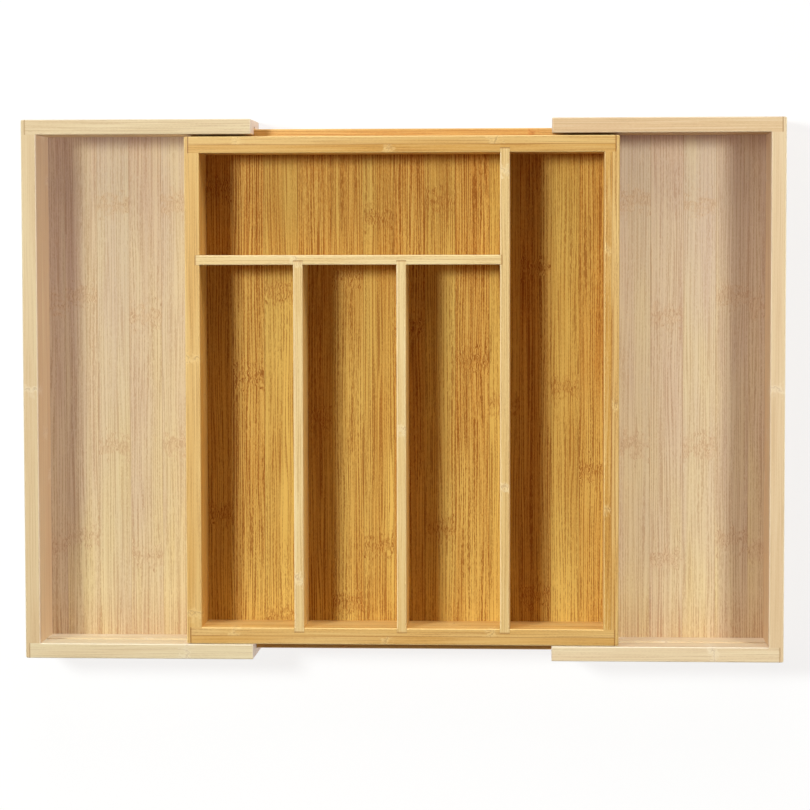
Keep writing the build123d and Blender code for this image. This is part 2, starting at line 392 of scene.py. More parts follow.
    def node_mark(self, tree: Tree, place: Node, distance: Socket) -> tuple[Node, Node, Node]:
        """Adds the nodes of a node mark, a ragged band where the fibres swing sideways and break up.

        Args:
            tree: The tree that gets them.
            place: The place in the strip, in mm.
            distance: The distance along the strip from the middle of the mark, in mm.

        Returns:
            The nodes with how near the mark is, from 0 to 1, with the scar, and with the swing, in mm.
        """
        ripple = add_node(tree, NOISE, {
            "Vector": place, "Scale": RIPPLE_SCALE, "Detail": 1.0, "Roughness": 0.5})
        uneven = RAGGED * self.node_reach
        ragged = add_node(tree, MATH, {
            0: ripple.outputs["Fac"], 1: uneven, 2: distance}, operation="MULTIPLY_ADD")
        centred = add_node(tree, MATH, {0: ragged, 1: uneven / 2}, operation="SUBTRACT")
        away = add_node(tree, MATH, {0: centred}, operation="ABSOLUTE")
        near = add_node(tree, MAP_RANGE, {
            "Value": away, "From Min": self.node_reach, "From Max": 0.0}, interpolation_type="SMOOTHSTEP")
        # The scar is the line where the leaf sat: thin, brown, and broken where the ripple is high.
        line = add_node(tree, MAP_RANGE, {
            "Value": away, "From Min": SCAR_START, "From Max": SCAR_FULL, "To Max": self.scar})
        kept = add_node(tree, MAP_RANGE, {
            "Value": ripple.outputs["Fac"], "From Min": SCAR_BROKEN, "From Max": SCAR_WHOLE})
        scar = add_node(tree, MATH, {0: line, 1: kept}, operation="MULTIPLY")
        reach = add_node(tree, MATH, {0: near, 1: SWING}, operation="MULTIPLY")
        swing = add_node(tree, VECTOR_MATH, {
            0: ripple.outputs["Color"], 1: (0.5, 0.5, 0.5)}, operation="SUBTRACT")
        return near, scar, add_node(tree, VECTOR_MATH, {0: swing, "Scale": reach}, operation="SCALE")

    def fibre_lines(self, tree: Tree, place: Node, fibres: Node, near: Node) -> Node:
        """Adds the nodes that draw the fibres: an uneven comb of lines, long or broken into dashes.

        Args:
            tree: The tree that gets them.
            place: The place in the strip, in mm.
            fibres: The same place, bent as the fibres run.
            near: How near a node mark is, from 0 to 1.

        Returns:
            The node whose value is high on a fibre and low between two.
        """
        layers = {}
        for layer, (scales, detail) in FIBRE_LAYERS.items():
            stretched = add_node(tree, VECTOR_MATH, {0: fibres, 1: scales}, operation="MULTIPLY")
            layers[layer] = add_node(tree, NOISE, {
                "Vector": stretched, "Scale": 1.0, "Detail": detail, "Roughness": 0.6})

        # Most of a strip has long lines, some stretches have short dashes too, and node marks only those.
        stretch_place = add_node(tree, VECTOR_MATH, {0: place, 1: STRETCH_SCALE}, operation="MULTIPLY")
        stretch = add_node(tree, NOISE, {"Vector": stretch_place, "Scale": 1.0, "Detail": 1.0})
        dashed = add_node(tree, MAP_RANGE, {
            "Value": stretch, "From Min": STRETCH_START, "From Max": STRETCH_FULL, "To Max": self.dashes})
        broken = add_node(tree, MATH, {0: dashed, 1: near}, operation="MAXIMUM")
        weave = add_node(tree, MIX, {
            "Factor": broken, "A": layers["long"], "B": layers["dash"]}, data_type="FLOAT")
        fine_share = FINE_SHARE + FINE_DASHES * self.dashes
        woven = add_node(tree, MIX, {
            "Factor": fine_share, "A": weave, "B": layers["fine"]}, data_type="FLOAT")
        turn = 2.0 * math.pi / self.fibre_pitch
        spread = add_node(tree, VECTOR_MATH, {
            0: fibres, 1: (turn, COMB_TILT * turn, 0.0)}, operation="DOT_PRODUCT")
        phase = add_node(tree, MATH, {
            0: layers["stray"], 1: COMB_STRAY, 2: spread}, operation="MULTIPLY_ADD")
        comb = add_node(tree, MATH, {0: phase}, operation="SINE")
        tooth = add_node(tree, MATH, {0: comb, 1: layers["dash"]}, operation="MULTIPLY")
        return add_node(tree, MATH, {0: tooth, 1: self.evenness, 2: woven}, operation="MULTIPLY_ADD")

    def strips_drawn(
            self, tree: Tree, board: Board, axes: tuple[Socket, ...],
            size: list[float]) -> tuple[Node, ...]:
        """Adds the nodes that lay out the strips of a solid board and give each its own values.

        Args:
            tree: The material's tree.
            board: The board.
            axes: The sockets of the place across, through and along, in mm from the middle.
            size: The board's size across, through and along, in mm.

        Returns:
            The nodes of the strip's number, depth, blush and node place, and of the joint.
        """
        across, through, along = axes
        cells = [max(1, round(size[0] / self.strip)), board.layers]
        numbers, lines = [], []
        for socket, length, count in zip((across, through), size, cells):
            share = add_node(tree, MATH, {
                0: socket, 1: STRIP_FIT * count / length, 2: count / 2}, operation="MULTIPLY_ADD")
            numbers.append(add_node(tree, MATH, {0: share}, operation="FLOOR"))
            part = add_node(tree, MATH, {0: share, 1: 0.5}, operation="PINGPONG")
            gap = add_node(tree, MATH, {0: part, 1: length / count}, operation="MULTIPLY")
            line = add_node(tree, MAP_RANGE, {
                "Value": gap, "From Min": JOINT_START, "From Max": JOINT_FULL, "To Max": JOINT_STRENGTH})
            reach = add_node(tree, MATH, {0: socket}, operation="ABSOLUTE")
            last_joint = (length - length / count) / 2
            inside = add_node(tree, MATH, {0: reach, 1: last_joint}, operation="LESS_THAN")
            lines.append(add_node(tree, MATH, {0: line, 1: inside}, operation="MULTIPLY"))
        own_seed = float(sum(map(ord, board.name)))
        cell = add_node(tree, COMBINE, {0: numbers[0], 1: numbers[1], 2: own_seed})
        chance = add_node(tree, WHITE_NOISE, {"Vector": cell}, noise_dimensions="3D")
        drawn = add_node(tree, SEPARATE, {0: chance.outputs["Color"]}).outputs
        number = add_node(tree, MATH, {0: chance.outputs["Value"], 1: NUMBER_SPAN}, operation="MULTIPLY")
        own = add_node(tree, MAP_RANGE, {
            "Value": drawn[0], "To Min": board.depth - self.spread, "To Max": board.depth + self.spread})
        first = -board.step * (cells[1] - 1) / 2
        layered = add_node(tree, MATH, {0: numbers[1], 1: board.step, 2: first}, operation="MULTIPLY_ADD")
        depth = add_node(tree, MATH, {0: own, 1: layered}, operation="ADD")
        blush = add_node(tree, MATH, {0: drawn[2], 1: CHANCE_BLUSH}, operation="MULTIPLY")
        upward = add_node(tree, MATH, {
            0: numbers[0], 1: NODE_STEP, 2: numbers[1]}, operation="MULTIPLY_ADD")
        node_place = add_node(tree, MATH, {
            0: upward, 1: NODE_STAGGER * self.node_pitch, 2: board.node}, operation="MULTIPLY_ADD")
        joint = add_node(tree, MATH, {0: lines[0], 1: lines[1]}, operation="MAXIMUM")
        for housed, way in zip(board.ends.value, (-1.0, 1.0)):
            if housed:
                reach = add_node(tree, MATH, {0: along, 1: way}, operation="MULTIPLY")
                seat = add_node(tree, MAP_RANGE, {
                    "Value": reach, "From Min": size[2] / 2 - SEAT_START,
                    "From Max": size[2] / 2 - SEAT_FULL})
                joint = add_node(tree, MATH, {0: joint, 1: seat}, operation="MAXIMUM")
        return number, depth, blush, node_place, joint

    def strips_named(
            self, tree: Tree, board: Board, axes: tuple[Socket, ...], size: list[float],
            edge: Node) -> tuple[Node | Socket, ...]:
        """Adds the nodes that read the values of a floor panel's strips from its mesh.

        Args:
            tree: The material's tree.
            board: The floor.
            axes: The sockets of the place across, through and along, in mm from the middle.
            size: The floor's size across, through and along, in mm.
            edge: The node that marks eased edges, which on a floor lie along the joints.

        Returns:
            The sockets or nodes of the strip's number, depth, blush and node place, and of the joint.
        """
        number, tone, node_place = (
            add_node(tree, "ShaderNodeAttribute", attribute_name=name).outputs["Fac"]
            for name in ("strip_number", "strip_tone", "strip_node"))
        depth = add_node(tree, MAP_RANGE, {
            "Value": tone, "To Min": board.depth - self.spread, "To Max": board.depth + self.spread})
        own = add_node(tree, MATH, {0: tone, 1: TONE_BLUSH, 2: TONE_GOLDEN}, operation="MULTIPLY_ADD")
        # Blush grows towards the back as the depth does: at a drift of 1 from nothing to twice its own.
        growth = 2.0 * board.drift / size[2]
        grown = add_node(tree, MATH, {0: axes[2], 1: growth, 2: 1.0}, operation="MULTIPLY_ADD")
        blush = add_node(tree, MATH, {0: own, 1: grown}, operation="MULTIPLY")
        return number, depth, blush, node_place, edge

    def material(self, board: Board, named: bool = False) -> bpy.types.Material:
        """Makes this bamboo for one piece, with its strips laid out from the piece's own middle.

        Args:
            board: The piece.
            named: True where the mesh names its own strips in attributes, as a floor panel does.

        Returns:
            The material.
        """
        low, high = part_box(board.name)
        middle = (low + high) * (0.5 * PER_METRE)
        size = [(high - low)[axis] * PER_METRE for axis in board.grain.value]
        material = bpy.data.materials.new(f"{self.slot}_{board.name}")
        tree = empty_tree(material)

        # Places in mm from the middle of the piece, turned so that Z runs along the fibres.
        here = add_node(tree, "ShaderNodeTexCoord")
        scaled = add_node(tree, "ShaderNodeMapping", {
            "Vector": here.outputs["Object"], "Location": -middle, "Scale": (PER_METRE,) * 3})
        sides = add_node(tree, SEPARATE, {0: scaled}).outputs
        axes = tuple(sides[axis] for axis in board.grain.value)
        place = add_node(tree, COMBINE, dict(enumerate(axes)))

        facing = add_node(tree, VECTOR_MATH, {0: here.outputs["Normal"]}, operation="ABSOLUTE")
        normal = add_node(tree, SEPARATE, {0: facing}).outputs
        end_grain = add_node(tree, MAP_RANGE, {
            "Value": normal[board.grain.value[2]], "From Min": CUT_START, "From Max": CUT_FULL})
        flattest = add_node(tree, MATH, {0: normal[0], 1: normal[1]}, operation="MAXIMUM")
        flat = add_node(tree, MATH, {0: flattest, 1: normal[2]}, operation="MAXIMUM")
        edge = add_node(tree, MAP_RANGE, {"Value": flat, "From Min": EDGE_START, "From Max": EDGE_FULL})

        if named:
            number, depth, blush, node_place, joint = self.strips_named(tree, board, axes, size, edge)
        else:
            number, depth, blush, node_place, joint = self.strips_drawn(tree, board, axes, size)
        off = add_node(tree, MATH, {0: axes[2], 1: node_place}, operation="SUBTRACT")
        pitch = self.node_pitch
        node_distance = add_node(tree, MATH, {0: off, 1: pitch / 2, 2: -pitch / 2}, operation="WRAP")
        # The depth changes along the piece by its drift. On walls and dividers the paler end, towards the
        # lamps at the back left, is painted sheen; on a floor the colour only grows deeper towards the back.
        drifted_depth = add_node(tree, MATH, {
            0: axes[2], 1: board.drift / size[2], 2: depth}, operation="MULTIPLY_ADD")
        # Painted shade along the front end, where a floor meets its front wall.
        front = -size[2] / 2
        front_shade = add_node(tree, MAP_RANGE, {
            "Value": axes[2], "From Min": front + FRONT_SHADE_START, "From Max": front + FRONT_SHADE_FULL,
            "To Max": board.front_shade})
        shown = self.fibre_strength * board.figure
        fibre = add_node(tree, MATH, {
            0: axes[2], 1: -shown * board.fading / size[2], 2: shown}, operation="MULTIPLY_ADD")
        group = add_node(tree, "ShaderNodeGroup", {
            "Place": place, "Strip": number, "Depth": drifted_depth, "Blush": blush, "Fibre": fibre,
            "Node Distance": node_distance, "Settled": front_shade, "End Grain": end_grain, "Edge": edge,
            "Joint": joint}, node_tree=self.pattern())
        bump = add_node(tree, "ShaderNodeBump", {
            "Height": group.outputs["Height"], "Strength": BUMP_STRENGTH, "Distance": FIBRE_DROP * MM})
        shader = add_node(tree, "ShaderNodeBsdfPrincipled", {
            "Base Color": group.outputs["Color"], "Roughness": group.outputs["Roughness"], "Normal": bump,
            "IOR": OIL_IOR, "Specular IOR Level": self.gloss})
        add_node(tree, "ShaderNodeOutputMaterial", {"Surface": shader})
        return material

    def dress(self, board: Board) -> None:
        """Gives this bamboo to a piece of the frame.

        Args:
            board: The piece.
        """
        frame["nodes"][board.name].material_slots[0].material = self.material(board)
        log.info("%s is dressed in %s", board.name, self.slot)


# Steamed bamboo boards, planed and oiled: honey gold and calm, with fine brown lines and a soft sheen.
CARBONISED_BOARD = Bamboo(
    slot="carbonised_bamboo_board", pale="#EFD18E", deep="#CE9636", blush="#DCAE5C", fibre="#985A18",
    fleck="#F8E09C", cut="#B98A4C", node="#F6DC9A", node_pitch=171.0, fibre_strength=0.38)
# A thin panel of steamed bamboo, sanded and oiled: deeper and nearly matt, with strong red-brown lines
# that break up into dashes.
CARBONISED_PANEL = Bamboo(
    slot="carbonised_bamboo_panel", pale="#D2B05C", deep="#A07224", blush="#BA8036", fibre="#7E4204",
    fleck="#D8B460", cut="#8C5C2C", node="#A06828", node_pitch=222.0, fibre_strength=0.62, spread=0.08,
    node_reach=10.0, scar=0.25, fibre_pitch=1.8, evenness=0.26, dashes=0.7, roughness=0.55, gloss=0.12)
# Thin strips of pale bamboo, planed and oiled: straw yellow, the brightest lines of the tray.
PALE_DIVIDER = Bamboo(
    slot="pale_bamboo_divider", pale="#F4E0A8", deep="#DEB058", blush="#E8C884", fibre="#B07C3C",
    fleck="#FFF0C0", cut="#C89C60", node="#FFF0C4", node_pitch=210.0, fibre_strength=0.34, strip=19.0)
# Narrow strips of amber bamboo, planed and oiled: orange brown beside the honey gold of the walls.
AMBER_RAIL = Bamboo(
    slot="amber_bamboo_rail", pale="#DEB870", deep="#BC8834", blush="#CA9854", fibre="#9C581C",
    fleck="#F0CC88", cut="#A87838", node="#C88040", node_pitch=230.0, fibre_strength=0.36, strip=5.0,
    spread=0.1)
# Natural bamboo boards, planed and left pale: cream, with faint lines, and a little less sheen.
NATURAL_BOARD = Bamboo(
    slot="natural_bamboo_board", pale="#ECDCB4", deep="#D8B686", blush="#E0C6A0", fibre="#B08A5C",
    fleck="#F8ECD0", cut="#DCD0C4", node="#F4E6C8", node_pitch=200.0, fibre_strength=0.3, roughness=0.45)
# A thin panel of natural bamboo, sanded: sand coloured to pinkish grey, nearly matt, with soft lines.
NATURAL_PANEL = replace(
    CARBONISED_PANEL,
    slot="natural_bamboo_panel", pale="#D9C592", deep="#CBBEB0", blush="#CAAA8A", fibre="#A87C56",
    fleck="#E8D8B0", cut="#BC9C74", node="#C8A884", node_pitch=165.0, fibre_strength=0.41)


@dataclass(frozen=True)
class Strip:
    """One strip of a floor panel.

    Attributes:
        width: Its width, in mm.
        tone: How deep its colour is, from 0 for golden to 1 for pinkish brown.
        node: Where along it a node mark lies, in mm towards the back from its middle.
    """

    width: float
    tone: float
    node: float


TRAY_STRIPS = (
    Strip(22.0, 0.50, -85.0), Strip(21.5, 0.75, 9.0), Strip(23.0, 0.20, 66.0), Strip(23.0, 0.55, -20.0),
    Strip(21.5, 0.45, -146.0), Strip(20.5, 0.40, 115.0), Strip(21.0, 0.85, 40.0), Strip(20.5, 0.30, -95.0),
    Strip(23.0, 0.80, 20.0), Strip(20.5, 0.15, -10.0), Strip(21.0, 0.65, 82.0), Strip(19.0, 0.20, 2.0),
    Strip(20.5, 0.60, -56.0))
WING_STRIPS = (
    Strip(15.5, 0.48, -110.0), Strip(22.0, 0.57, 62.0), Strip(22.0, 0.32, -41.0), Strip(22.0, 0.61, 49.0),
    Strip(22.0, 0.29, -39.0), Strip(22.0, 0.52, 90.0), Strip(22.5, 0.42, 10.0))


def glued_strips() -> Tree:
    """Makes the tree that turns a row of points into strips glued edge to edge, once.

    Returns:
        The tree. Each point carries its strip's width, tone and node place.
    """
    name = "glued_strips"
    if name in bpy.data.node_groups:
        return bpy.data.node_groups[name]
    tree = bpy.data.node_groups.new(name, "GeometryNodeTree")
    tree.interface.new_socket("Geometry", in_out="OUTPUT", socket_type="NodeSocketGeometry")
    for socket_name, kind in (
            ("Geometry", "Geometry"), ("Strip Length", "Float"), ("Strip Thickness", "Float"),
            ("Usual Width", "Float"), ("Eased Edge", "Float"), ("Tone Change", "Float"), ("Seed", "Int"),
            ("Finish", "Material")):
        tree.interface.new_socket(socket_name, in_out="INPUT", socket_type=f"NodeSocket{kind}")
    given = add_node(tree, "NodeGroupInput").outputs

    # One strip of the usual width: its section, with eased corners, stood up and drawn out to its length.
    section = add_node(tree, "GeometryNodeCurvePrimitiveQuadrilateral", {
        "Width": given["Usual Width"], "Height": given["Strip Thickness"]})
    eased = add_node(tree, "GeometryNodeFilletCurve", {
        "Curve": section, "Radius": given["Eased Edge"], "Count": 2}, mode="POLY")
    face = add_node(tree, "GeometryNodeFillCurve", {"Curve": eased}, mode="NGONS")
    half = add_node(tree, MATH, {0: given["Strip Length"], 1: -0.5}, operation="MULTIPLY")
    start = add_node(tree, COMBINE, {"Y": half})
    stood = add_node(tree, "GeometryNodeTransform", {
        "Geometry": face, "Translation": start, "Rotation": (math.pi / 2, 0.0, 0.0)})
    draw = add_node(tree, COMBINE, {"Y": given["Strip Length"]})
    drawn = add_node(tree, "GeometryNodeExtrudeMesh", {
        "Mesh": stood, "Offset": draw, "Offset Scale": 1.0, "Individual": False}, mode="FACES")
    turned = add_node(tree, "GeometryNodeFlipFaces", {"Mesh": drawn})
    both = add_node(tree, "GeometryNodeJoinGeometry")
    tree.links.new(turned.outputs[0], both.inputs[0])
    tree.links.new(stood.outputs[0], both.inputs[0])
    strip = add_node(tree, "GeometryNodeMergeByDistance", {"Geometry": both, "Distance": WELD * MM})

    # A strip stands on each point, stretched to its own width, with a small chance change of tone.
    width = add_node(tree, "GeometryNodeInputNamedAttribute", {"Name": "strip_width"}, data_type="FLOAT")
    share = add_node(tree, MATH, {0: width, 1: given["Usual Width"]}, operation="DIVIDE")
    stretch = add_node(tree, COMBINE, {"X": share, "Y": 1.0, "Z": 1.0})
    less = add_node(tree, MATH, {0: given["Tone Change"], 1: -1.0}, operation="MULTIPLY")
    chance = add_node(tree, "FunctionNodeRandomValue", {
        "Min": less, "Max": given["Tone Change"], "Seed": given["Seed"]}, data_type="FLOAT")
    planned = add_node(tree, "GeometryNodeInputNamedAttribute", {"Name": "strip_tone"}, data_type="FLOAT")
    tone = add_node(tree, MATH, {0: planned, 1: chance}, operation="ADD")
    toned = add_node(tree, "GeometryNodeStoreNamedAttribute", {
        "Geometry": given["Geometry"], "Name": "strip_tone", "Value": tone},
        data_type="FLOAT", domain="POINT")
    placed = add_node(tree, "GeometryNodeInstanceOnPoints", {
        "Points": toned, "Instance": strip, "Scale": stretch})
    real = add_node(tree, "GeometryNodeRealizeInstances", {"Geometry": placed})
    finished = add_node(tree, "GeometryNodeSetMaterial", {"Geometry": real, "Material": given["Finish"]})
    add_node(tree, "NodeGroupOutput", {"Geometry": finished})
    return tree


@dataclass
class FloorPanel:
    """A thin floor of strips glued edge to edge, which takes the place of a plain floor of the frame.

    Attributes:
        board: The floor of the frame, and how its bamboo looks.
        body: The body that it moves with.
        finish: Its bamboo.
        strips: Its strips, from left to right.
        seed: The seed of the chance change of tone from strip to strip.
        eased_edge: Size of the eased edges that show as a hairline at each joint, in mm.
        tone_change: The most that chance changes the tone of a strip.
    """

    board: Board
    body: str
    finish: Bamboo
    strips: tuple[Strip, ...]
    seed: int
    eased_edge: float = 0.12
    tone_change: float = 0.06

    def row(self) -> Object:
        """Lays a point in the middle of each strip, with the strip's own values.

        Returns:
            An object with the points and their attributes.
        """
        low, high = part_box(self.board.name)
        share = (high.x - low.x) / sum(strip.width for strip in self.strips)
        widths = [strip.width * share for strip in self.strips]
        left = low.x
        points = []
        for width in widths:
            points.append((left + width / 2, (low.y + high.y) / 2, (low.z + high.z) / 2))
            left += width
        mesh = bpy.data.meshes.new(f"{self.board.name}_row")
        mesh.from_pydata(points, [], [])
        values = {
            "strip_width": widths,
            "strip_tone": [strip.tone for strip in self.strips],
            "strip_node": [strip.node for strip in self.strips],
            "strip_number": [float(self.seed + number) for number in range(len(self.strips))]}
        for name, numbers in values.items():
            mesh.attributes.new(name, "FLOAT", "POINT").data.foreach_set("value", numbers)
        return new_object(f"{self.board.name}_row", mesh)

    def build(self) -> Object:
        """Makes the panel as one plain mesh on its body.

        Returns:
            The panel.
        """
        low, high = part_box(self.board.name)
        row = self.row()
        modifier = row.modifiers.new("strips", "NODES")
        modifier.node_group = glued_strips()
        usual = (high.x - low.x) / len(self.strips)
        values = {
            "Strip Length": high.y - low.y, "Strip Thickness": high.z - low.z, "Usual Width": usual,
            "Eased Edge": self.eased_edge * MM, "Tone Change": self.tone_change, "Seed": self.seed,
            "Finish": self.finish.material(self.board, named=True)}
        for item in modifier.node_group.interface.items_tree:
            if item.in_out == "INPUT" and item.name in values:
                modifier[item.identifier] = values[item.name]
        evaluated = row.evaluated_get(bpy.context.evaluated_depsgraph_get())
        mesh = bpy.data.meshes.new_from_object(evaluated)
        bpy.data.objects.remove(row)
        panel = new_object(f"{self.board.name}_panel", mesh)
        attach(panel, self.body)
        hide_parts(self.board.name)
        log.info("%s has %d strips and %d faces", panel.name, len(self.strips), len(mesh.polygons))
        return panel


@dataclass
class CentreTray:
    """The tray in the middle: four walls, four dividers, two guide rails and a glued floor.

    Attributes:
        body: The body that all its pieces move with.
        floor: Its floor.
        walls: Its walls, whose ends are lipped over or housed at the corners.
        dividers: The dividers, each housed at both ends.
        rails: The strips let into the outside of the back and front walls.
    """

    body: str = "centre_tray"
    # The floor's band along its front end is painted shade at the foot of the front wall.
    floor: Board = Board("centre_floor", Grain.PANEL, depth=0.46, drift=0.38, fading=0.15, front_shade=0.04)
    # Each wall's drift makes its end towards the lamps at the back left paler: painted sheen.
    walls: tuple[Board, ...] = (
        Board("centre_left_wall", Grain.LENGTHWAYS, depth=0.18, drift=-0.5, node=-30.0, figure=0.7),
        Board("centre_right_wall", Grain.LENGTHWAYS, depth=0.64, drift=-0.1, layers=2, step=-0.42,
              node=-130.0, figure=1.8),
        Board("centre_back_wall", Grain.CROSSWAYS, depth=0.46, drift=0.2, layers=2, step=-0.4, node=-60.0,
              ends=Ends.HOUSED),
        Board("centre_front_wall", Grain.CROSSWAYS, depth=0.38, layers=2, step=-0.45, node=-63.0,
              ends=Ends.HOUSED))
    # Each divider's drift makes its back end paler, towards the lamps: painted sheen.
    dividers: tuple[Board, ...] = (
        Board("long_divider", Grain.LENGTHWAYS, depth=0.4, drift=-0.15, node=-96.0, ends=Ends.HOUSED),
        Board("cross_divider", Grain.CROSSWAYS, depth=0.15, node=-67.0, ends=Ends.HOUSED),
        Board("short_divider_left", Grain.LENGTHWAYS, depth=0.22, drift=-0.3, node=90.0, ends=Ends.HOUSED),
        Board("short_divider_right", Grain.LENGTHWAYS, depth=0.32, drift=-0.4, node=-20.0, ends=Ends.HOUSED))
    rails: tuple[Board, ...] = (
        Board("back_guide_rail", Grain.CROSSWAYS, depth=0.4, node=86.0),
        Board("front_guide_rail", Grain.CROSSWAYS, depth=0.5, node=-40.0))

    def build(self) -> None:
        """Lays the floor and dresses every piece of the tray."""
        FloorPanel(self.floor, self.body, CARBONISED_PANEL, TRAY_STRIPS, seed=3).build()
        for finish, boards in (
                (CARBONISED_BOARD, self.walls), (PALE_DIVIDER, self.dividers), (AMBER_RAIL, self.rails)):
            for board in boards:
                finish.dress(board)


class Side(Enum):
    """The side of the tray that a wing slides out of."""

    LEFT = "left"
    RIGHT = "right"


@dataclass
class Wing:
    """One of the two wings: three walls, a glued floor that slides under the tray, and a stop batten.

    Attributes:
        side: The side that it is on.
        seed: The seed of its floor panel.
        back_depth: How deep the colour of its back wall is.
        front_depth: How deep the colour of its front wall is.
    """

    side: Side
    seed: int
    back_depth: float
    front_depth: float

    @property
    def body(self) -> str:
        """The body that all its pieces move with."""
        return f"{self.side.value}_wing"

    def build(self) -> None:
        """Lays the floor and dresses every piece of the wing."""
        strips = WING_STRIPS if self.side is Side.LEFT else WING_STRIPS[::-1]
        lapped = Ends.FIRST_HOUSED if self.side is Side.LEFT else Ends.LAST_HOUSED
        # The floor's band along its front end is painted shade at the foot of the front wall.
        floor = Board(
            f"{self.body}_floor", Grain.PANEL, depth=0.45, drift=0.5, fading=0.4, front_shade=0.33)
        FloorPanel(floor, self.body, NATURAL_PANEL, strips, self.seed).build()
        for board in (
                # The end wall's drift makes its back end paler, towards the lamps: painted sheen.
                Board(f"{self.body}_end_wall", Grain.LENGTHWAYS, drift=-0.2, node=-60.0, figure=0.65),
                Board(f"{self.body}_back_wall", Grain.CROSSWAYS, depth=self.back_depth, node=40.0,
                      ends=lapped),
                Board(f"{self.body}_front_wall", Grain.CROSSWAYS, depth=self.front_depth, node=-30.0,
                      ends=lapped),
                Board(f"{self.body}_stop", Grain.LENGTHWAYS)):
            NATURAL_BOARD.dress(board)


MAIN_PLACE = (-1.10, 0.40, 1.75)  # where the main light comes from, in metres
MAIN_SIZE = (0.35, 0.45)  # the size of a main lamp, in metres
LIFT_SIZE = (0.4, 0.4)  # the size of a lamp that lifts shadows, in metres
FULL_LIGHT = math.pi ** 2  # watts of an even lamp that give a surface which faces it the full level


@dataclass(frozen=True)
class Lamp:
    """One soft rectangular lamp, which gives the same light at every distance.

    Attributes:
        name: Its name.
        place: Its middle, in metres.
        size: Its width and height, in metres.
        strength: The share of the full light level that it gives a level surface.
        colour: Its colour.
        shadows: Whether it casts shadows.
        through_floor: Whether it shines through the studio floor.
    """

    name: str
    place: tuple[float, float, float]
    size: tuple[float, float]
    strength: float
    colour: str = WHITE
    shadows: bool = True
    through_floor: bool = False

    def hang(self, lit: list[Object]) -> None:
        """Hangs the lamp, turned to the middle of the tray.

        Args:
            lit: The objects that it lights.
        """
        light = bpy.data.lights.new(self.name, "AREA")
        light.shape = "RECTANGLE"
        light.size, light.size_y = self.size
        light.use_shadow = self.shadows
        steepness = abs(self.place[2]) / Vector(self.place).length
        light.energy = self.strength * FULL_LIGHT / steepness
        tree = empty_tree(light)
        even = add_node(tree, "ShaderNodeLightFalloff", {"Strength": 1.0})
        emission = add_node(tree, "ShaderNodeEmission", {
            "Color": linear(self.colour), "Strength": even.outputs["Constant"]})
        add_node(tree, "ShaderNodeOutputLight", {"Surface": emission})
        lamp = new_object(self.name, light)
        lamp.location = self.place
        lamp.rotation_euler = Vector(self.place).to_track_quat("Z", "Y").to_euler()
        receivers = bpy.data.collections.new(f"{self.name}_lights")
        for piece in lit:
            receivers.objects.link(piece)
        lamp.light_linking.receiver_collection = receivers
        if self.through_floor:
            lamp.light_linking.blocker_collection = receivers


